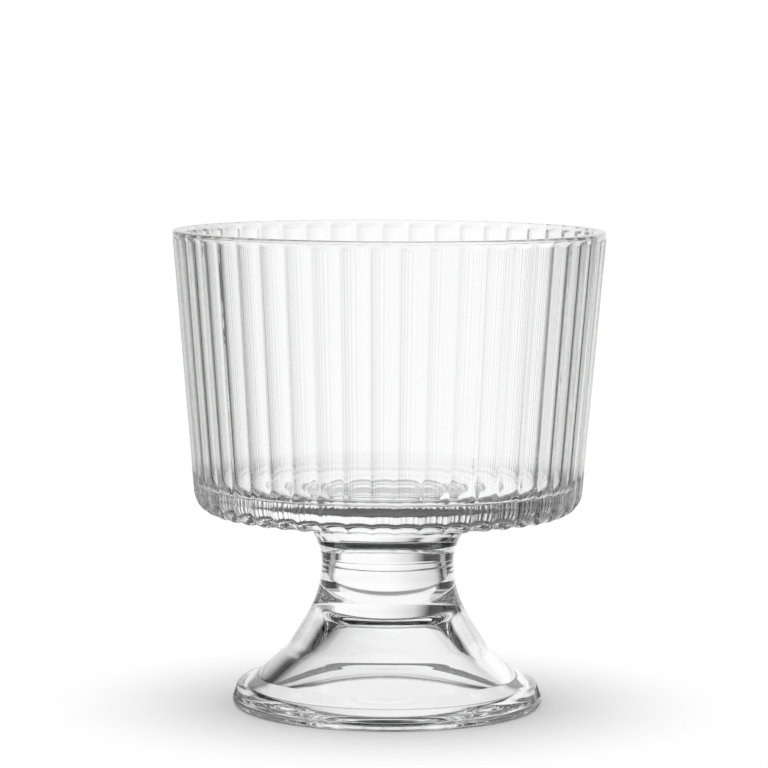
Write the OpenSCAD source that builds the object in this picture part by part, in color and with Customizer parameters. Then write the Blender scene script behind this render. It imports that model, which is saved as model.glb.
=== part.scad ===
// Footed parfait glass in clear pressed glass: a short wide fluted bowl, a short solid stem
// and a hollow bell-shaped foot. The pieces are fused end to end, so their flat faces meet.
// Millimetres, +Z up, origin on the table at the centre of the foot.

/* [Bowl] */
// Outer diameter at the rim
rim_d = 100.2; // [86:0.2:120]
// Height of the bowl from its underside to the lip
bowl_h = 65.5; // [45:0.5:90]
// Outer diameter that the tapered side would have at the underside
bowl_base_d = 89.2; // [76:0.2:98]
// Thickness of the bowl's wall
bowl_wall = 2.8; // [2.2:0.1:4.5]
// Thickness of the bowl's floor
floor_t = 6.4; // [4:0.2:10]
// Radius of the outer corner between the side and the underside
corner_r = 5.5; // [4:0.5:9]
// Radius of the inner corner between the wall and the floor
inner_corner_r = 4; // [2:0.5:8]
// Rounding of the lip's two edges
lip_r = 0.7; // [0.3:0.1:0.8]

/* [Flutes] */
// Number of flutes round the bowl
flute_count = 48; // [32:1:60]
// Depth of a flute at the rim
flute_depth = 0.5; // [0.3:0.02:0.7]
// Width of the rounded ridge between two flutes at the rim
ridge_w = 1.1; // [0.3:0.1:1.6]
// How flat a flute's bottom is: 2 for a plain parabola, and more for steeper flanks
flute_power = 2.5; // [2:0.1:4]
// Angle of the first ridge from the +X axis
first_ridge = 2.3; // [0:0.1:7]
// Height of the plain band between the flutes and the top of the lip
rim_band_h = 0.8; // [0.8:0.1:6]
// Length over which the upper end of a flute fades out
flute_runout = 1.4; // [1:0.1:6]
// How much shallower a flute gets on its way round the lower corner
corner_fade = 0.24; // [0.1:0.02:0.28]
// Length over which the lower end of a flute fades out under the bowl
under_runout = 3; // [1:0.5:6]

/* [Stem] */
// Diameter of the narrowest part, where the stem and the foot are fused
waist_d = 30.7; // [24:0.1:36]
// Height of the solid stem
stem_h = 11.8; // [8:0.1:13]
// Radius of the hollow curve in which the stem widens to the bowl
stem_flare_r = 13.2; // [13.1:0.1:20]

/* [Foot] */
// Height of the foot, up to the waist
foot_h = 33.2; // [30:0.1:40]
// Outer diameter of the base ring
foot_d = 72; // [66:0.5:84]
// Height at which the neck's side would meet the skirt's upper slope
neck_z = 26.5; // [24:0.1:28]
// Radius of the curve from the neck to the skirt
neck_r = 23; // [10:1:24]
// Diameter at the skirt's bend
skirt_d = 46.8; // [42:0.2:52]
// Height of the skirt's bend
skirt_z = 13.4; // [11:0.1:15]
// Radius of the skirt's bend
skirt_r = 12; // [4:1:16]
// Diameter at the crease where the skirt meets the base ring
crease_d = 60.6; // [56:0.2:64]
// Height of that crease
crease_z = 7; // [6:0.1:8]
// Radius of that crease
crease_r = 1.5; // [0.5:0.1:2]
// Height of the base ring's shoulder
shoulder_z = 5.3; // [4:0.1:5.8]
// Distance of the shoulder inside the ring's outer diameter
shoulder_in = 1.3; // [0.8:0.1:2]
// Radius of the shoulder
shoulder_r = 1.6; // [0.5:0.1:1.8]
// Radius of the ring's lower outer edge
toe_r = 1.6; // [0.5:0.1:2]

/* [Hollow] */
// Height of the hollow's roof over the table
roof_z = 20.3; // [16:0.1:24]
// Diameter at which the roof turns down
roof_d = 22; // [14:0.5:26]
// Radius of the turn between the roof and the hollow's side
roof_r = 6; // [2:0.5:7]
// Diameter of the hollow at the bend of its side
hollow_d = 40; // [34:0.5:42]
// Height of that bend
hollow_z = 10.5; // [9:0.1:13]
// Radius of that bend
hollow_r = 18; // [2:1:24]
// Diameter of the mouth where it meets the rounded foot edge
mouth_d = 60; // [56:0.5:66]
// Height of the slanting step just inside the mouth
mouth_z = 1.6; // [1:0.1:3]
// Width of the flat ring that the glass rests on
rest_w = 1.2; // [0.8:0.1:2]

/* [Hidden] */
$fn = 96;

// Colour of clear glass, and how much it hides
glass_colour = [0.86, 0.93, 0.93];
glass_alpha_share = 0.45;
// How far a cut runs past the surface it leaves
overrun = 1;
// Largest angle between two points of a rounded outline
arc_step = 6;

rim_r = rim_d / 2;
base_r = bowl_base_d / 2;
waist_r = waist_d / 2;
foot_r = foot_d / 2;

// The bowl's side leans out by this angle
taper = atan((rim_r - base_r) / bowl_h);
// Centre of the outer corner, and the point where it meets the side
corner_at = [base_r + corner_r * tan(taper) - corner_r / cos(taper), corner_r];
corner_end = corner_at + corner_r * [cos(taper), -sin(taper)];

// A flute across its width: off is the distance from the middle of the nearer ridge. The ridge's
// crest is a parabola, and the hollow beside it falls off steeply and ends in a flat bottom
half_pitch = PI * rim_r / flute_count;
hollow_w = half_pitch - ridge_w / 2;
flank = flute_depth / (hollow_w / flute_power + ridge_w / 4);
function cut_depth(off) =
    off < ridge_w / 2
        ? flank * off * off / ridge_w
        : flank * (ridge_w / 4
            + hollow_w / flute_power * (1 - pow((half_pitch - off) / hollow_w, flute_power)));

// Columns of points round the bowl, each one [angle, share of the flute's depth]. A flute has
// one point on the ridge's middle and the rest on both sides of its own middle
hollow_shares = [0, 0.28, 0.68];
half_offs = concat([0], [for (share = hollow_shares) ridge_w / 2 + share * hollow_w]);
offs = concat(half_offs, [for (i = [len(half_offs) - 1:-1:1]) 2 * half_pitch - half_offs[i]]);
columns = [for (i = [0:flute_count - 1], off = offs)
    [first_ridge + (i + off / (2 * half_pitch)) * 360 / flute_count,
     cut_depth(min(off, 2 * half_pitch - off)) / flute_depth]];

// Rows of points up the outside. Each one is [r, z, direction into the glass, flute depth].
// A flute fades in under the bowl, deepens round the corner, follows the side and fades out
corner_steps = 6;
fade_steps = 3;
lip_steps = 3;
low_depth = flute_depth * corner_end[0] / rim_r;
flute_top_z = bowl_h - rim_band_h;
function side_r(z) = base_r + z * tan(taper);
function side_row(z, depth) = [side_r(z), z, -cos(taper), sin(taper), depth];
function corner_row(a) =
    [corner_at[0] + corner_r * cos(a), corner_at[1] + corner_r * sin(a), -cos(a), -sin(a),
     low_depth - corner_fade * (1 - cos(a + taper))];
function faded(share) = (1 + cos(180 * share)) / 2;
lip_at = [side_r(bowl_h - lip_r) - lip_r / cos(taper), bowl_h - lip_r];
rows = concat(
    [[corner_at[0] - under_runout, 0, 0, 1, 0]],
    [for (i = [0:corner_steps]) corner_row(-90 + i / corner_steps * (90 - taper))],
    [for (i = [0:fade_steps])
        side_row(flute_top_z - flute_runout * (1 - i / fade_steps), flute_depth * faded(i / fade_steps))],
    [for (i = [0:lip_steps])
        let (a = -taper + i / lip_steps * (90 + taper))
        [lip_at[0] + lip_r * cos(a), lip_at[1] + lip_r * sin(a), 0, 0, 0]]
);

function arc_points(centre, radius, from, to) =
    let (steps = max(2, ceil(abs(to - from) / arc_step)))
    [for (i = [0:steps]) let (a = from + (to - from) * i / steps) centre + radius * [cos(a), sin(a)]];

// An outline from its corners, each given as [r, z, radius], with every corner rounded
function unit(v) = v / norm(v);
function turned(a, b) = a[0] * b[1] - a[1] * b[0];
function corner_points(before, at, after) =
    let (
        p = [at[0], at[1]],
        u = unit([before[0], before[1]] - p),
        v = unit([after[0], after[1]] - p),
        half = acos(max(-1, min(1, u * v))) / 2,
        bisector = unit(u + v),
        centre = p + bisector * at[2] / sin(half),
        start = p + u * at[2] / tan(half) - centre,
        finish = p + v * at[2] / tan(half) - centre,
        a = atan2(start[1], start[0]),
        sweep = (turned(start, finish) > 0 ? 1 : -1) * acos(max(-1, min(1, unit(start) * unit(finish))))
    )
    arc_points(centre, at[2], a, a + sweep);
function rounded(corners) =
    [for (i = [0:len(corners) - 1])
        let (n = len(corners), c = corners[i])
        each c[2] == 0
            ? [[c[0], c[1]]]
            : corner_points(corners[(i + n - 1) % n], c, corners[(i + 1) % n])];

// Everything inside the bowl's fluted outer surface, as one skin over the rows and columns
module bowl_outside() {
    m = len(columns);
    n = len(rows);
    points = [for (row = rows, column = columns)
        let (
            cut = row[4] * column[1],
            r = row[0] + row[2] * cut
        )
        [r * cos(column[0]), r * sin(column[0]), row[1] + row[3] * cut]];
    sides = [for (i = [0:n - 2], j = [0:m - 1])
        let (k = (j + 1) % m)
        each [[i * m + j, (i + 1) * m + j, (i + 1) * m + k], [i * m + j, (i + 1) * m + k, i * m + k]]];
    underside = [for (j = [0:m - 1]) j];
    top = [for (j = [m - 1:-1:0]) (n - 1) * m + j];
    polyhedron(points = points, faces = concat([underside, top], sides), convexity = 10);
}

// The space that the bowl holds, with the lip's inner edge rolling out into the flat top
module bowl_inside() {
    inner_rim_r = rim_r - bowl_wall / cos(taper);
    inner_floor_r = inner_rim_r - (bowl_h - floor_t) * tan(taper);
    roll_z = bowl_h - lip_r;
    roll_at = [inner_rim_r - lip_r * tan(taper) + lip_r / cos(taper), roll_z];
    rotate_extrude()
        polygon(concat(
            rounded([
                [0, bowl_h + overrun, 0],
                [0, floor_t, 0],
                [inner_floor_r, floor_t, inner_corner_r],
                [inner_rim_r - lip_r * tan(taper), roll_z, 0]
            ]),
            arc_points(roll_at, lip_r, 180, 90),
            [[roll_at[0], bowl_h + overrun]]
        ));
}

module bowl() {
    color(glass_colour, glass_alpha_share)
        translate([0, 0, foot_h + stem_h])
            difference() {
                bowl_outside();
                bowl_inside();
            }
}

// Stem: the solid stub that widens in one hollow curve up to the bowl
module stem() {
    flare = [waist_r + stem_flare_r, 0];
    color(glass_colour, glass_alpha_share)
        translate([0, 0, foot_h])
            rotate_extrude()
                polygon(concat(
                    [[0, stem_h], [0, 0]],
                    arc_points(flare, stem_flare_r, 180, 180 - asin(stem_h / stem_flare_r))
                ));
}

// Foot: a neck, a skirt and a base ring outside, and one bell-shaped hollow inside
module foot() {
    rest_r = foot_r - toe_r - rest_w;
    color(glass_colour, glass_alpha_share)
        rotate_extrude()
            polygon(rounded([
                [0, foot_h, 0],
                [waist_r, foot_h, 0],
                [waist_r, neck_z, neck_r],
                [skirt_d / 2, skirt_z, skirt_r],
                [crease_d / 2, crease_z, crease_r],
                [foot_r - shoulder_in, shoulder_z, shoulder_r],
                [foot_r, toe_r, 0],
                [foot_r, 0, toe_r],
                [rest_r, 0, 0],
                [mouth_d / 2, mouth_z, 0],
                [hollow_d / 2, hollow_z, hollow_r],
                [roof_d / 2, roof_z, roof_r],
                [0, roof_z, 0]
            ]));
}

bowl();
stem();
foot();
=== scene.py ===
"""Footed parfait glass in clear pressed glass, on a white table in front of a white backdrop."""
import math

import bmesh
import bpy
import numpy as np
from bpy.props import FloatProperty, FloatVectorProperty, IntProperty, PointerProperty
from mathutils import Matrix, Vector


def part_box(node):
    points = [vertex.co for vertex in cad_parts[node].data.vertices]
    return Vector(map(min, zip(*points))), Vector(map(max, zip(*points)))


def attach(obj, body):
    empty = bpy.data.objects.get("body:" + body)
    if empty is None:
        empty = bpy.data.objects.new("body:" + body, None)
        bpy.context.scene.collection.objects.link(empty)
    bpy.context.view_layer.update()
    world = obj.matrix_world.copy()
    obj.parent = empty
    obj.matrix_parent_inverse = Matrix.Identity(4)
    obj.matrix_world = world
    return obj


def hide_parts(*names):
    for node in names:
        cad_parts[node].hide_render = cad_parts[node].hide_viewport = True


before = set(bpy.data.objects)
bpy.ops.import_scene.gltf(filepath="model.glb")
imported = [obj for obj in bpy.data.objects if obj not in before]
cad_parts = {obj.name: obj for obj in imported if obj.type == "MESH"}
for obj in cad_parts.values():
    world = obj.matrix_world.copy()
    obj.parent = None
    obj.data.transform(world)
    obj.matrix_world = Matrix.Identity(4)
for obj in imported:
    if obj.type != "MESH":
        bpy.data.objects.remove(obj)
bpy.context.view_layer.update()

bl_info = {
    "name": "Parfait glass",
    "version": (1, 0, 0),
    "blender": (4, 5, 0),
    "location": "View3D > Sidebar > Parfait",
    "description": "Builds a fluted, footed parfait glass and the white table it stands on",
    "category": "Object",
}

MM = 0.001

# How fine the meshes are: columns round a turned piece and across one flute
TURNED_COLUMNS = 256
FLUTE_COLUMNS = 16
# How far the columns of a flute are drawn towards its ridges
COLUMN_DRAW = 0.1
# Steps on rounded corners, and the longest steps between them
ARC_STEP = math.radians(3)
INSIDE_ARC_STEP = math.radians(5)
FEWEST_ARC_STEPS = 4
FOOT_STEP = 1.5 * MM
INSIDE_STEP = 3 * MM
# Rows of the bowl from its underside to the lip, and of the stem's hollow curve
UNDERSIDE_ROWS = 8
FADE_ROWS = 8
CORNER_ROWS = 19
SIDE_ROWS = 14
FLUTE_END_ROWS = 13
BAND_ROWS = 4
LIP_STEPS = 8
FLARE_STEPS = 30
# A ring of points narrower than this is one point on the axis
ON_AXIS = 1e-9


def node_height(node):
    """Height of a CAD node, in millimetres"""
    low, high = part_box(node)
    return (high[2] - low[2]) / MM


def length(name, description, mm):
    """A length property; its default is given in millimetres"""
    return FloatProperty(name=name, description=description, default=mm * MM, unit="LENGTH",
                         subtype="DISTANCE", precision=5)


def angle(name, description, degrees):
    """An angle property; its default is given in degrees"""
    return FloatProperty(name=name, description=description, default=math.radians(degrees),
                         unit="ROTATION", subtype="ANGLE")


class BowlSizes(bpy.types.PropertyGroup):
    """Sizes of the fluted bowl"""
    rim_d: length("Rim diameter", "Outer diameter at the rim", 100.2)
    height: length("Height", "Height of the bowl from its underside to the lip", node_height("bowl"))
    base_d: length("Base diameter", "Outer diameter of the tapered side, carried on to the underside",
                   89.2)
    wall: length("Wall", "Thickness of the wall", 2.8)
    floor_t: length("Floor", "Thickness of the floor", 6.4)
    corner_r: length("Outer corner", "Radius between the side and the underside", 5.5)
    inner_corner_r: length("Inner corner", "Radius between the wall and the floor", 4)
    lip_r: length("Lip", "Rounding of the lip's two edges", 0.7)
    flutes: IntProperty(name="Flutes", description="Number of flutes round the bowl", default=48,
                        min=12)
    first_ridge: angle("First ridge", "Angle of the first ridge from the right", 2.3)
    flute_depth: length("Flute depth", "Depth of a flute at the rim", 0.5)
    flute_power: FloatProperty(name="Flute power", description="How flat the bottom of a flute is",
                               default=2.5, min=1.5)
    ridge_w: length("Ridge width", "Width of the rounded ridge between two flutes", 1.1)
    rim_band_h: length("Rim band", "Height of the plain band above the flutes", 0.8)
    flute_runout: length("Flute end", "Length over which a flute's upper end fades out", 1.4)
    corner_fade: length("Corner fade", "How much shallower a flute gets round the lower corner", 0.24)
    under_runout: length("Underside fade", "Length over which a flute's lower end fades out", 3)


class StemSizes(bpy.types.PropertyGroup):
    """Sizes of the solid stem"""
    waist_d: length("Waist diameter", "Diameter where the stem and the foot are fused", 30.7)
    height: length("Height", "Height of the solid stem", node_height("stem"))
    flare_r: length("Flare", "Radius of the hollow curve in which the stem widens to the bowl", 13.2)


class FootSizes(bpy.types.PropertyGroup):
    """Sizes of the foot, from the waist down and then up its hollow"""
    height: length("Height", "Height of the foot, up to the waist", node_height("foot"))
    ring_d: length("Ring diameter", "Outer diameter of the base ring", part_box("foot")[1][0] * 2 / MM)
    neck_z: length("Neck bend height", "Height where the neck would meet the skirt's slope", 26.5)
    neck_r: length("Neck bend", "Radius of the curve from the neck to the skirt", 23)
    skirt_d: length("Skirt diameter", "Diameter at the skirt's bend", 46.8)
    skirt_z: length("Skirt bend height", "Height of the skirt's bend", 13.4)
    skirt_r: length("Skirt bend", "Radius of the skirt's bend", 12)
    crease_d: length("Crease diameter", "Diameter at the crease above the base ring", 60.6)
    crease_z: length("Crease height", "Height of that crease", 7)
    crease_r: length("Crease", "Radius of that crease", 1.5)
    shoulder_z: length("Shoulder height", "Height of the base ring's shoulder", 5.3)
    shoulder_in: length("Shoulder inset", "Distance of the shoulder inside the ring's diameter", 1.3)
    shoulder_r: length("Shoulder", "Radius of the shoulder", 1.6)
    toe_r: length("Toe", "Radius of the ring's lower outer edge", 1.6)
    roof_z: length("Roof height", "Height of the hollow's roof over the table", 20.3)
    roof_d: length("Roof diameter", "Diameter at which the roof turns down", 22)
    roof_r: length("Roof turn", "Radius of the turn between the roof and the hollow's side", 6)
    hollow_d: length("Hollow diameter", "Diameter of the hollow at the bend of its side", 40)
    hollow_z: length("Hollow bend height", "Height of that bend", 10.5)
    hollow_r: length("Hollow bend", "Radius of that bend", 18)
    mouth_d: length("Mouth diameter", "Diameter of the hollow's mouth", 60)
    mouth_z: length("Mouth height", "Height of the slanting step inside the mouth", 1.6)
    rest_w: length("Rest width", "Width of the flat ring that the glass rests on", 1.2)


class GlassFinish(bpy.types.PropertyGroup):
    """What the glass is like"""
    tint: FloatVectorProperty(name="Tint", description="Colour that the light takes at each surface",
                              default=(0.995, 0.998, 0.996), subtype="COLOR", min=0, max=1)
    ior: FloatProperty(name="Refraction", description="Index of refraction of the glass",
                       default=1.52)
    ripple: length("Ripple", "Height of the faint waves that pressing leaves", 0.008)
    ripple_size: length("Ripple size", "Distance between two of those waves", 7)
    peel_size: length("Peel size", "Distance between two dimples of the orange peel", 1.5)
    peel_share: FloatProperty(name="Peel share", description="Share of the orange peel in the ripple",
                              default=0.15, min=0, max=1)


class StageSizes(bpy.types.PropertyGroup):
    """The table, and the camera in front of the glass"""
    table_half: length("Table half width", "Half the side of the white table", 6000)
    camera_distance: length("Camera distance", "Distance of the camera in front of the glass", 816.5)
    camera_height: length("Camera height", "Height of the camera over the table", 153.11)
    camera_side: length("Camera offset", "How far the camera stands to the right of the axis", -1.09)
    camera_pitch: angle("Camera pitch", "How far the camera looks down", 5.48)
    camera_roll: angle("Camera roll", "How far the camera is tilted sideways", 0.3)
    focal: FloatProperty(name="Focal length", description="Focal length for a 36 mm sensor",
                         default=166.03, unit="CAMERA")


def unit(v):
    """The vector at length 1"""
    return v / np.linalg.norm(v)


def smooth(k):
    """A smooth step from 0 to 1 as k goes from 0 to 1"""
    return k * k * (3 - 2 * k)


def arc(centre, radius, start, finish, steps):
    """Points [r, z] on an arc, both ends included; angles in radians from the r axis"""
    return [(centre[0] + radius * math.cos(a), centre[1] + radius * math.sin(a))
            for a in np.linspace(start, finish, steps + 1)]


def rounded(corners, step=ARC_STEP):
    """An open outline from its corners [r, z, radius], every corner with a radius rounded"""
    points = []
    for i, (r, z, radius) in enumerate(corners):
        if radius == 0:
            points.append((r, z))
            continue
        p = np.array((r, z))
        u = unit(np.array(corners[i - 1][:2]) - p)
        v = unit(np.array(corners[i + 1][:2]) - p)
        half = math.acos(np.clip(u @ v, -1, 1)) / 2
        centre = p + unit(u + v) * radius / math.sin(half)
        a = p + u * radius / math.tan(half) - centre
        b = p + v * radius / math.tan(half) - centre
        sweep = math.acos(np.clip(unit(a) @ unit(b), -1, 1))
        sweep *= 1 if a[0] * b[1] - a[1] * b[0] > 0 else -1
        start = math.atan2(a[1], a[0])
        steps = max(FEWEST_ARC_STEPS, math.ceil(abs(sweep) / step))
        points += arc(centre, radius, start, start + sweep, steps)
    return points


def filled(points, most):
    """The outline with extra points, so that no step is longer than most"""
    out = [points[0]]
    for (r0, z0), (r1, z1) in zip(points, points[1:]):
        n = max(1, math.ceil(math.dist((r0, z0), (r1, z1)) / most))
        out += [(r0 + (r1 - r0) * k / n, z0 + (z1 - z0) * k / n) for k in range(1, n + 1)]
    return out


def skin(name, grid, seams=()):
    """A closed mesh over a grid of points (rows, columns, 3): every row is a ring and the first
    and last rows are points on the axis. The faces after each row in seams take material slot 1"""
    rows, columns = grid.shape[:2]
    bm = bmesh.new()
    rings = []
    for row in grid:
        if np.hypot(row[:, 0], row[:, 1]).max() < ON_AXIS:
            rings.append([bm.verts.new(row[0])] * columns)
        else:
            rings.append([bm.verts.new(p) for p in row])
    for i in range(rows - 1):
        for j in range(columns):
            k = (j + 1) % columns
            corners = dict.fromkeys((rings[i][j], rings[i + 1][j], rings[i + 1][k], rings[i][k]))
            face = bm.faces.new(tuple(corners))
            face.smooth = True
            face.material_index = 1 if i in seams else 0
    bmesh.ops.recalc_face_normals(bm, faces=bm.faces)
    mesh = bpy.data.meshes.new(name)
    bm.to_mesh(mesh)
    bm.free()
    piece = bpy.data.objects.new(name, mesh)
    bpy.context.scene.collection.objects.link(piece)
    return piece


def turned(name, outline, seams=()):
    """A closed solid of revolution from an outline that starts and ends on the axis"""
    around = np.linspace(0, 2 * math.pi, TURNED_COLUMNS, endpoint=False)
    grid = np.empty((len(outline), TURNED_COLUMNS, 3))
    r, z = np.array(outline).T
    grid[..., 0] = r[:, None] * np.cos(around)
    grid[..., 1] = r[:, None] * np.sin(around)
    grid[..., 2] = z[:, None]
    return skin(name, grid, seams)


def flute_columns(s):
    """Angles round the bowl and, at each, the share of the flute's depth: a hollow with a flat
    bottom and steep flanks between two ridges whose crests are rounded"""
    share = np.arange(FLUTE_COLUMNS) / FLUTE_COLUMNS
    share = share - COLUMN_DRAW * np.sin(2 * math.pi * share)
    turns = (np.arange(s.flutes)[:, None] + share) / s.flutes
    angles = (turns * 2 * math.pi).ravel() + s.first_ridge
    half_pitch = math.pi * s.rim_d / s.flutes / 2
    half_ridge = s.ridge_w / 2
    half_hollow = half_pitch - half_ridge
    # The slope at which the ridge's rounded crest passes into the flank
    slope = s.flute_depth / (half_hollow / s.flute_power + half_ridge / 2)
    # Distance from the nearest crest, and the share of the way that is left to the middle
    off = np.minimum(share, 1 - share) * 2 * half_pitch
    left = np.clip((half_pitch - off) / half_hollow, 0, 1)
    crest = slope * off ** 2 / s.ridge_w
    hollow = slope * (half_ridge / 2 + half_hollow / s.flute_power * (1 - left ** s.flute_power))
    depth = np.where(off < half_ridge, crest, hollow) / s.flute_depth
    return angles, np.tile(depth, s.flutes)


def plain_rows(points):
    """Rows of the bowl that the flutes don't reach"""
    return [(r, z, 0, 0, 0, 0) for r, z in points]


def bowl_rows(s, fused_r):
    """Rows from under the bowl, up the outside, over the lip and down inside: radius, height, the
    direction into the glass (two values), the flute's depth, and how far the flute's upper end
    has closed. The second row is the edge of the face that the stem is fused to"""
    tilt = math.atan((s.rim_d - s.base_d) / 2 / s.height)
    c, t = math.cos(tilt), math.tan(tilt)
    inward = (-c, math.sin(tilt))
    base_r, rim_r = s.base_d / 2, s.rim_d / 2
    # Centre of the lower corner's arc, and the flute's depth where the side begins
    corner = (base_r + s.corner_r * t - s.corner_r / c, s.corner_r)
    low_depth = s.flute_depth * (corner[0] + s.corner_r * c) / rim_r

    def side_r(z):
        return base_r + z * t

    # The flat underside, where the flutes begin, and the lower corner
    flat_r = corner[0] - s.under_runout
    rows = plain_rows([(r, 0) for r in (0, *np.linspace(fused_r, flat_r, UNDERSIDE_ROWS))])
    for k in np.linspace(0, 1, FADE_ROWS)[1:-1]:
        depth = (low_depth - s.corner_fade) * smooth(k)
        rows.append((flat_r + s.under_runout * k, 0, 0, 1, depth, 0))
    for a in np.linspace(-math.pi / 2, -tilt, CORNER_ROWS):
        out, up = math.cos(a), math.sin(a)
        depth = low_depth - s.corner_fade * (1 - math.cos(a + tilt))
        rows.append((corner[0] + s.corner_r * out, corner[1] + s.corner_r * up, -out, -up, depth, 0))
    # The side, the upper end of the flutes, the plain band and the outer half of the lip
    flute_top = s.height - s.rim_band_h
    for z in np.linspace(rows[-1][1], flute_top - s.flute_runout, SIDE_ROWS)[1:]:
        rows.append((side_r(z), z, *inward, s.flute_depth * side_r(z) / rim_r, 0))
    for k in np.linspace(0, 1, FLUTE_END_ROWS)[1:]:
        z = flute_top - s.flute_runout * (1 - k)
        rows.append((side_r(z), z, *inward, s.flute_depth, k))
    lip = (side_r(s.height - s.lip_r) - s.lip_r / c, s.height - s.lip_r)
    rows += plain_rows([(side_r(z), z) for z in np.linspace(flute_top, lip[1], BAND_ROWS)[1:-1]])
    rows += plain_rows(arc(lip, s.lip_r, -tilt, math.pi / 2, LIP_STEPS))
    # The inner half of the lip, the inside and the floor
    inner_r = rim_r - s.wall / c
    roll = (inner_r - s.lip_r * t + s.lip_r / c, s.height - s.lip_r)
    inside = arc(roll, s.lip_r, math.pi / 2, math.pi - tilt, LIP_STEPS)
    inside += rounded([
        (inner_r - s.lip_r * t, roll[1], 0),
        (inner_r - (s.height - s.floor_t) * t, s.floor_t, s.inner_corner_r),
        (0, s.floor_t, 0),
    ], INSIDE_ARC_STEP)[1:]
    return rows + plain_rows(filled(inside, INSIDE_STEP))


def bowl_mesh(s, z0, fused_r):
    """The bowl with its underside at height z0 and a face of radius fused_r for the stem"""
    angles, depth = flute_columns(s)
    rows = bowl_rows(s, fused_r)
    grid = np.empty((len(rows), len(angles), 3))
    for i, (r, z, dr, dz, full, closed) in enumerate(rows):
        cut = full * depth * (1 - smooth(closed))
        ring = r + dr * cut
        grid[i, :, 0] = ring * np.cos(angles)
        grid[i, :, 1] = ring * np.sin(angles)
        grid[i, :, 2] = z0 + z + dz * cut
    return skin("bowl_clear", grid, seams=(0,))


def stem_top_r(s):
    """Radius of the stem where it meets the bowl"""
    return s.waist_d / 2 + s.flare_r * (1 - math.cos(math.asin(s.height / s.flare_r)))


def stem_mesh(s, z0):
    """The stem with its lower face at height z0"""
    waist_r = s.waist_d / 2
    sweep = math.asin(s.height / s.flare_r)
    outline = [(0, z0 + s.height), (stem_top_r(s), z0 + s.height)]
    outline += arc((waist_r + s.flare_r, z0), s.flare_r, math.pi - sweep, math.pi, FLARE_STEPS)[1:]
    outline.append((0, z0))
    return turned("stem_clear", outline, seams=(0, len(outline) - 2))


def foot_mesh(s, waist_d):
    """The foot, which stands on the table and ends at the waist"""
    ring_r = s.ring_d / 2
    corners = [
        (0, s.height, 0),
        (waist_d / 2, s.height, 0),
        (waist_d / 2, s.neck_z, s.neck_r),
        (s.skirt_d / 2, s.skirt_z, s.skirt_r),
        (s.crease_d / 2, s.crease_z, s.crease_r),
        (ring_r - s.shoulder_in, s.shoulder_z, s.shoulder_r),
        (ring_r, s.toe_r, 0),
        (ring_r, 0, s.toe_r),
        (ring_r - s.toe_r - s.rest_w, 0, 0),
        (s.mouth_d / 2, s.mouth_z, 0),
        (s.hollow_d / 2, s.hollow_z, s.hollow_r),
        (s.roof_d / 2, s.roof_z, s.roof_r),
        (0, s.roof_z, 0),
    ]
    outline = rounded(corners)
    return turned("foot_clear", outline[:1] + filled(outline[1:], FOOT_STEP), seams=(0,))


def maths(tree, operation, *values):
    """The output of a math node whose inputs are numbers or other nodes' outputs"""
    node = tree.nodes.new("ShaderNodeMath")
    node.operation = operation
    for put, value in zip(node.inputs, values):
        if isinstance(value, (int, float)):
            put.default_value = value
        else:
            tree.links.new(value, put)
    return node.outputs[0]


def blended(tree, value, goal, mask):
    """value, turned into goal where the mask is 1"""
    step = maths(tree, "MULTIPLY", maths(tree, "SUBTRACT", goal, value), mask)
    return maths(tree, "ADD", value, step)


def beyond(tree, value, limit, edge):
    """A mask that is 0 below the limit and 1 above it, with an edge this wide"""
    node = tree.nodes.new("ShaderNodeMapRange")
    node.inputs["From Min"].default_value = limit - edge / 2
    node.inputs["From Max"].default_value = limit + edge / 2
    tree.links.new(value, node.inputs["Value"])
    return node.outputs[0]


def within(tree, value, limit, edge):
    """A mask that is 1 below the limit and 0 above it"""
    return maths(tree, "SUBTRACT", 1, beyond(tree, value, limit, edge))


def ramp(tree, stops, low, high):
    """A grey ramp whose stops are given on the scale from low to high"""
    node = tree.nodes.new("ShaderNodeValToRGB")
    elements = node.color_ramp.elements
    while len(elements) > 1:
        elements.remove(elements[-1])
    for i, (place, value) in enumerate(stops):
        share = (place - low) / (high - low)
        element = elements[0] if i == 0 else elements.new(share)
        element.position = share
        element.color = (value, value, value, 1)
    return node


def new_group(name, inputs, outputs):
    """An empty node group with its named sockets, given as name and kind, and its two end nodes"""
    tree = bpy.data.node_groups.new(name, "ShaderNodeTree")
    for label, kind in inputs:
        tree.interface.new_socket(label, in_out="INPUT", socket_type=f"NodeSocket{kind}")
    for label, kind in outputs:
        tree.interface.new_socket(label, in_out="OUTPUT", socket_type=f"NodeSocket{kind}")
    return tree, tree.nodes.new("NodeGroupInput"), tree.nodes.new("NodeGroupOutput")


def placed(tree, group):
    """A node that holds a group"""
    node = tree.nodes.new("ShaderNodeGroup")
    node.node_tree = group
    return node


# Octaves of the noise that makes the ripple
RIPPLE_DETAIL = 1


def ripple_group():
    """Node group: the faint waves and the orange peel that a press leaves in glass"""
    name = "pressed_glass_ripple"
    if name in bpy.data.node_groups:
        return bpy.data.node_groups[name]
    inputs = [(label, "Float") for label in ("Wave size", "Peel size", "Peel share")]
    tree, given, result = new_group(name, inputs, [("Height", "Float")])
    place = tree.nodes.new("ShaderNodeTexCoord")
    heights = []
    for size in ("Wave size", "Peel size"):
        noise = tree.nodes.new("ShaderNodeTexNoise")
        noise.inputs["Detail"].default_value = RIPPLE_DETAIL
        tree.links.new(place.outputs["Object"], noise.inputs["Vector"])
        tree.links.new(maths(tree, "DIVIDE", 1, given.outputs[size]), noise.inputs["Scale"])
        heights.append(noise.outputs["Fac"])
    height = blended(tree, *heights, given.outputs["Peel share"])
    tree.links.new(height, result.inputs["Height"])
    return tree


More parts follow.
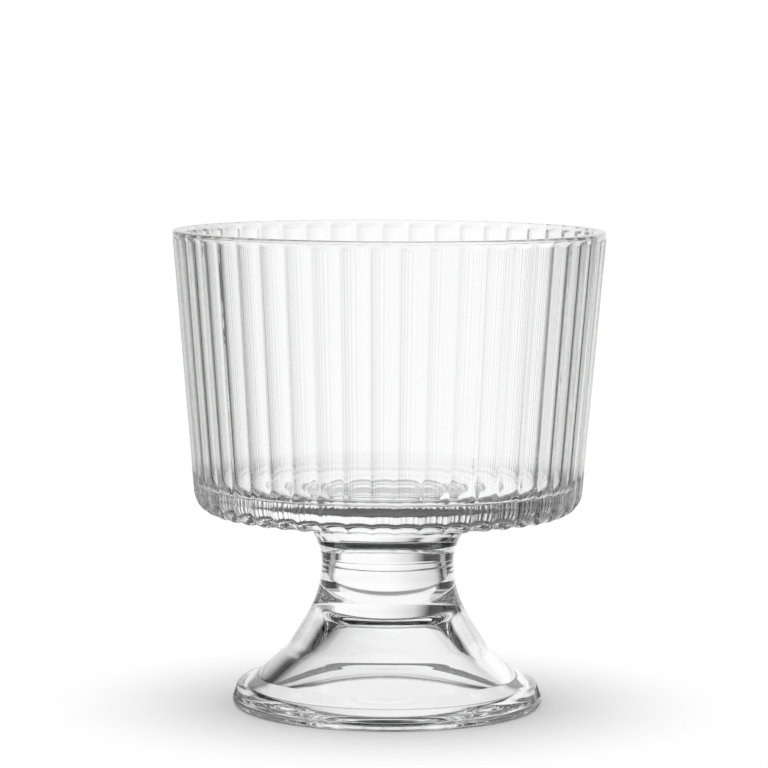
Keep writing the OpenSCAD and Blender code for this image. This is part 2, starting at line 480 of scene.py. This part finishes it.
def glass_material(name, finish):
    """Clear pressed glass"""
    material = bpy.data.materials.new(name)
    material.use_nodes = True
    tree = material.node_tree
    shader = tree.nodes["Principled BSDF"]
    shader.inputs["Base Color"].default_value = (*finish.tint, 1)
    shader.inputs["Roughness"].default_value = 0
    shader.inputs["IOR"].default_value = finish.ior
    shader.inputs["Transmission Weight"].default_value = 1
    ripple = placed(tree, ripple_group())
    ripple.inputs["Wave size"].default_value = finish.ripple_size
    ripple.inputs["Peel size"].default_value = finish.peel_size
    ripple.inputs["Peel share"].default_value = finish.peel_share
    bump = tree.nodes.new("ShaderNodeBump")
    bump.inputs["Distance"].default_value = finish.ripple
    tree.links.new(ripple.outputs["Height"], bump.inputs["Height"])
    tree.links.new(bump.outputs["Normal"], shader.inputs["Normal"])
    return material


def fused_material():
    """The faces at which two pieces are fused: glass on both sides, so nothing is seen there"""
    name = "fused_face"
    if name in bpy.data.materials:
        return bpy.data.materials[name]
    material = bpy.data.materials.new(name)
    material.use_nodes = True
    shader = material.node_tree.nodes["Principled BSDF"]
    shader.inputs["Alpha"].default_value = 0
    return material


def dressed(piece, node, finish):
    """Gives a piece its glass and lets it stand for its CAD node"""
    slot = f"{node}_glass"
    piece.data.materials.append(glass_material(slot, finish))
    piece.data.materials.append(fused_material())
    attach(piece, "root")
    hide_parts(node)


class PARFAIT_OT_bowl(bpy.types.Operator):
    """Adds the fluted bowl"""
    bl_idname = "parfait.bowl"
    bl_label = "Bowl"

    def execute(self, context):
        scene = context.scene
        stem = scene.parfait_stem
        underside = scene.parfait_foot.height + stem.height
        piece = bowl_mesh(scene.parfait_bowl, underside, stem_top_r(stem))
        dressed(piece, "bowl", scene.parfait_finish)
        return {"FINISHED"}


class PARFAIT_OT_stem(bpy.types.Operator):
    """Adds the short solid stem"""
    bl_idname = "parfait.stem"
    bl_label = "Stem"

    def execute(self, context):
        scene = context.scene
        piece = stem_mesh(scene.parfait_stem, scene.parfait_foot.height)
        dressed(piece, "stem", scene.parfait_finish)
        return {"FINISHED"}


class PARFAIT_OT_foot(bpy.types.Operator):
    """Adds the hollow bell-shaped foot"""
    bl_idname = "parfait.foot"
    bl_label = "Foot"

    def execute(self, context):
        scene = context.scene
        piece = foot_mesh(scene.parfait_foot, scene.parfait_stem.waist_d)
        dressed(piece, "foot", scene.parfait_finish)
        return {"FINISHED"}


# What the glass sees of the studio. Azimuths are in degrees from straight behind the glass
# towards the right, and each stop is an azimuth and its brightness. The white backdrop is narrow
# and falls off to the left, and beside it the studio is dark
STRAIGHT_BACK = 180
DARK = 0.03
SIDE_STOPS = (
    (-180, DARK), (-24, DARK), (-14, 0.7), (-5.4, 0.87), (0, 0.95), (5, 1), (32, 1), (38, DARK),
    (180, DARK),
)
# The same on the table, as painted light that the glass sees there: lit over a wider stretch, with
# painted shade beside it
TABLE_STOPS = (
    (-180, DARK), (-38, DARK), (-30, 0.65), (-19, 0.78), (-11, 0.86), (-5.4, 0.94), (0, 1), (36, 1),
    (42, DARK), (180, DARK),
)
# Elevations in degrees and the share of the brightness that is left there: the room ends on top
STRAIGHT_UP = 90
HEIGHT_STOPS = ((-90, 1), (27, 1), (32, DARK), (90, DARK))
# White walls of the studio: middle, half width, brightness. The wide one closes it behind the
# camera, and the narrow ones stand in its two dark sides
CARDS = ((180, 100, 0.85), (-45, 4, 0.45), (45, 4, 0.45))
CARD_EDGE = 3
# How far the painted light on the table under the foot reaches, and how far the ring of painted shadow
# round it, the foot's contact shadow painted on the table
NEAR_REACH = 0.031
NEAR_PAINTED_LIGHT = 0.95
SHADOW_RING_REACH = 0.05
SHADOW_RING_BRIGHTNESS = 0.18
# Straight in front, over this many degrees, the ring of painted shadow fades to half its strength
SHADOW_RING_SEAM = 1
TABLE_EDGE = 0.005
TABLE_ROUGHNESS = 0.9
# The glass's shadow fades out on the table between these two distances
SHADOW_FADE = (0.036, 0.085)
# Width of the camera's sensor, in millimetres
SENSOR_WIDTH = 36
# How many surfaces a ray of light may meet in the glass, and how many fused faces it may cross
GLASS_BOUNCES = 24
FUSED_BOUNCES = 64


def facing(tree, azimuth, middle, half, edge):
    """A mask that is 1 up to half degrees from the middle, all round the circle"""
    off = maths(tree, "PINGPONG", maths(tree, "SUBTRACT", azimuth, middle), STRAIGHT_BACK)
    return within(tree, off, half, edge)


def read_off(tree, stops, value, end):
    """The brightness that the stops give for a value between minus end and end"""
    stops_node = ramp(tree, stops, -end, end)
    share = maths(tree, "MULTIPLY_ADD", value, 1 / (2 * end), 0.5)
    tree.links.new(share, stops_node.inputs[0])
    return stops_node.outputs[0]


def surround_group():
    """Node group: how bright the studio is in a direction from the glass, how bright the table's
    painted light is there, and how strong the table's ring of painted shadow is there"""
    name = "studio_surround"
    if name in bpy.data.node_groups:
        return bpy.data.node_groups[name]
    outputs = [(label, "Float") for label in ("Studio", "Table", "Ring")]
    tree, given, result = new_group(name, [("Direction", "Vector")], outputs)
    normal = tree.nodes.new("ShaderNodeVectorMath")
    normal.operation = "NORMALIZE"
    tree.links.new(given.outputs["Direction"], normal.inputs[0])
    parts = tree.nodes.new("ShaderNodeSeparateXYZ")
    tree.links.new(normal.outputs[0], parts.inputs[0])
    turn = maths(tree, "ARCTAN2", parts.outputs["X"], parts.outputs["Y"])
    azimuth = maths(tree, "DEGREES", turn)
    elevation = maths(tree, "DEGREES", maths(tree, "ARCSINE", parts.outputs["Z"]))
    studio = read_off(tree, SIDE_STOPS, azimuth, STRAIGHT_BACK)
    painted_table_light = read_off(tree, TABLE_STOPS, azimuth, STRAIGHT_BACK)
    for middle, half, brightness in CARDS:
        mask = facing(tree, azimuth, middle, half, CARD_EDGE)
        studio = blended(tree, studio, brightness, mask)
        painted_table_light = blended(tree, painted_table_light, brightness, mask)
    left = read_off(tree, HEIGHT_STOPS, elevation, STRAIGHT_UP)
    tree.links.new(maths(tree, "MULTIPLY", studio, left), result.inputs["Studio"])
    tree.links.new(painted_table_light, result.inputs["Table"])
    # Strength of the ring of painted shadow in each direction
    ring = facing(tree, azimuth, 0, STRAIGHT_BACK, SHADOW_RING_SEAM)
    tree.links.new(ring, result.inputs["Ring"])
    return tree


def through_glass(tree, path):
    """1 for light that reaches a surface through the glass or by its reflections"""
    return maths(tree, "MAXIMUM", path.outputs["Is Glossy Ray"], path.outputs["Is Transmission Ray"])


def painted_table_glow(tree, place, reach):
    """Painted light and painted shadow that the glass sees on the table, at a place and at its distance
    from the glass
    """
    studio = placed(tree, surround_group())
    tree.links.new(place, studio.inputs["Direction"])
    # Painted light: the table under the foot glows bright for the glass
    near = within(tree, reach, NEAR_REACH, TABLE_EDGE)
    value = blended(tree, studio.outputs["Table"], NEAR_PAINTED_LIGHT, near)
    # Painted shadow: a darker ring round the foot, its contact shadow painted on the table
    start = beyond(tree, reach, NEAR_REACH, TABLE_EDGE)
    finish = beyond(tree, reach, SHADOW_RING_REACH, TABLE_EDGE)
    ring = maths(tree, "MULTIPLY", maths(tree, "SUBTRACT", start, finish), studio.outputs["Ring"])
    return blended(tree, value, SHADOW_RING_BRIGHTNESS, ring)


def table_material():
    """White table: the camera sees it white with the glass's shadow on it, and the glass sees light and
    shade painted on it as glow"""
    material = bpy.data.materials.new("table_white")
    material.use_nodes = True
    tree = material.node_tree
    shader = tree.nodes["Principled BSDF"]
    shader.inputs["Roughness"].default_value = TABLE_ROUGHNESS
    shader.inputs["Specular IOR Level"].default_value = 0
    shader.inputs["Emission Strength"].default_value = 1
    place = tree.nodes.new("ShaderNodeTexCoord").outputs["Object"]
    distance = tree.nodes.new("ShaderNodeVectorMath")
    distance.operation = "LENGTH"
    tree.links.new(place, distance.inputs[0])
    reach = distance.outputs["Value"]
    path = tree.nodes.new("ShaderNodeLightPath")
    through = through_glass(tree, path)
    fade = tree.nodes.new("ShaderNodeMapRange")
    fade.interpolation_type = "SMOOTHSTEP"
    for limit, value in zip(("From Min", "From Max"), SHADOW_FADE):
        fade.inputs[limit].default_value = value
    tree.links.new(reach, fade.inputs["Value"])
    plain = maths(tree, "MULTIPLY", fade.outputs[0], path.outputs["Is Camera Ray"])
    own = maths(tree, "SUBTRACT", maths(tree, "SUBTRACT", 1, through), plain)
    tree.links.new(own, shader.inputs["Base Color"])
    # Glow: the table's painted light and shade for the glass, and plain white for the camera away from
    # the glass
    glow = maths(tree, "MULTIPLY_ADD", painted_table_glow(tree, place, reach), through, plain)
    tree.links.new(glow, shader.inputs["Emission Color"])
    return material


def studio_world():
    """A plain white surround for the camera and the table, and for the glass the studio"""
    world = bpy.data.worlds.new("studio")
    bpy.context.scene.world = world
    world.use_nodes = True
    tree = world.node_tree
    white = tree.nodes["Background"]
    white.inputs["Color"].default_value = (1, 1, 1, 1)
    place = tree.nodes.new("ShaderNodeTexCoord")
    studio = placed(tree, surround_group())
    tree.links.new(place.outputs["Generated"], studio.inputs["Direction"])
    seen = tree.nodes.new("ShaderNodeBackground")
    tree.links.new(studio.outputs["Studio"], seen.inputs["Color"])
    path = tree.nodes.new("ShaderNodeLightPath")
    mix = tree.nodes.new("ShaderNodeMixShader")
    tree.links.new(through_glass(tree, path), mix.inputs[0])
    tree.links.new(white.outputs[0], mix.inputs[1])
    tree.links.new(seen.outputs[0], mix.inputs[2])
    tree.links.new(mix.outputs[0], tree.nodes["World Output"].inputs["Surface"])


def table(s):
    """The white table top, one flat square at height 0"""
    corners = [(x * s.table_half, y * s.table_half, 0) for x, y in ((-1, -1), (1, -1), (1, 1), (-1, 1))]
    mesh = bpy.data.meshes.new("table")
    mesh.from_pydata(corners, [], [range(len(corners))])
    mesh.materials.append(table_material())
    top = bpy.data.objects.new("table", mesh)
    bpy.context.scene.collection.objects.link(top)


def camera(s):
    """The camera at the photograph's viewing angle"""
    lens = bpy.data.cameras.new("camera")
    lens.sensor_width = SENSOR_WIDTH
    lens.lens = s.focal
    body = bpy.data.objects.new("camera", lens)
    bpy.context.scene.collection.objects.link(body)
    place = Matrix.Translation((s.camera_side, -s.camera_distance, s.camera_height))
    level = Matrix.Rotation(math.pi / 2 - s.camera_pitch, 4, "X")
    body.matrix_world = place @ level @ Matrix.Rotation(s.camera_roll, 4, "Z")
    bpy.context.scene.camera = body


class PARFAIT_OT_stage(bpy.types.Operator):
    """Adds the white table, the studio's light and the camera"""
    bl_idname = "parfait.stage"
    bl_label = "Stage"

    def execute(self, context):
        scene = context.scene
        scene.view_settings.view_transform = "Standard"
        cycles = scene.cycles
        cycles.max_bounces = cycles.transmission_bounces = cycles.glossy_bounces = GLASS_BOUNCES
        cycles.transparent_max_bounces = FUSED_BOUNCES
        sizes = scene.parfait_stage
        studio_world()
        table(sizes)
        camera(sizes)
        return {"FINISHED"}


class PARFAIT_PT_panel(bpy.types.Panel):
    """The pieces of the glass and their sizes"""
    bl_label = "Parfait glass"
    bl_idname = "PARFAIT_PT_panel"
    bl_space_type = "VIEW_3D"
    bl_region_type = "UI"
    bl_category = "Parfait"

    def draw(self, context):
        for operator in OPERATORS:
            self.layout.operator(operator.bl_idname)
        for name, kind in GROUPS.items():
            box = self.layout.box()
            box.label(text=name.replace("_", " "))
            for size in kind.__annotations__:
                box.prop(getattr(context.scene, name), size)


OPERATORS = (PARFAIT_OT_bowl, PARFAIT_OT_stem, PARFAIT_OT_foot, PARFAIT_OT_stage)
GROUPS = {
    "parfait_bowl": BowlSizes,
    "parfait_stem": StemSizes,
    "parfait_foot": FootSizes,
    "parfait_finish": GlassFinish,
    "parfait_stage": StageSizes,
}


def register():
    """Registers the classes and puts the sizes on the scene"""
    for kind in (*GROUPS.values(), *OPERATORS, PARFAIT_PT_panel):
        bpy.utils.register_class(kind)
    for name, group in GROUPS.items():
        setattr(bpy.types.Scene, name, PointerProperty(type=group))


def unregister():
    """Takes the sizes and the classes away again"""
    for name in GROUPS:
        delattr(bpy.types.Scene, name)
    for kind in reversed((*GROUPS.values(), *OPERATORS, PARFAIT_PT_panel)):
        bpy.utils.unregister_class(kind)


def main():
    """Builds the whole scene"""
    register()
    bpy.ops.parfait.bowl()
    bpy.ops.parfait.stem()
    bpy.ops.parfait.foot()
    bpy.ops.parfait.stage()


if __name__ == "__main__":
    main()
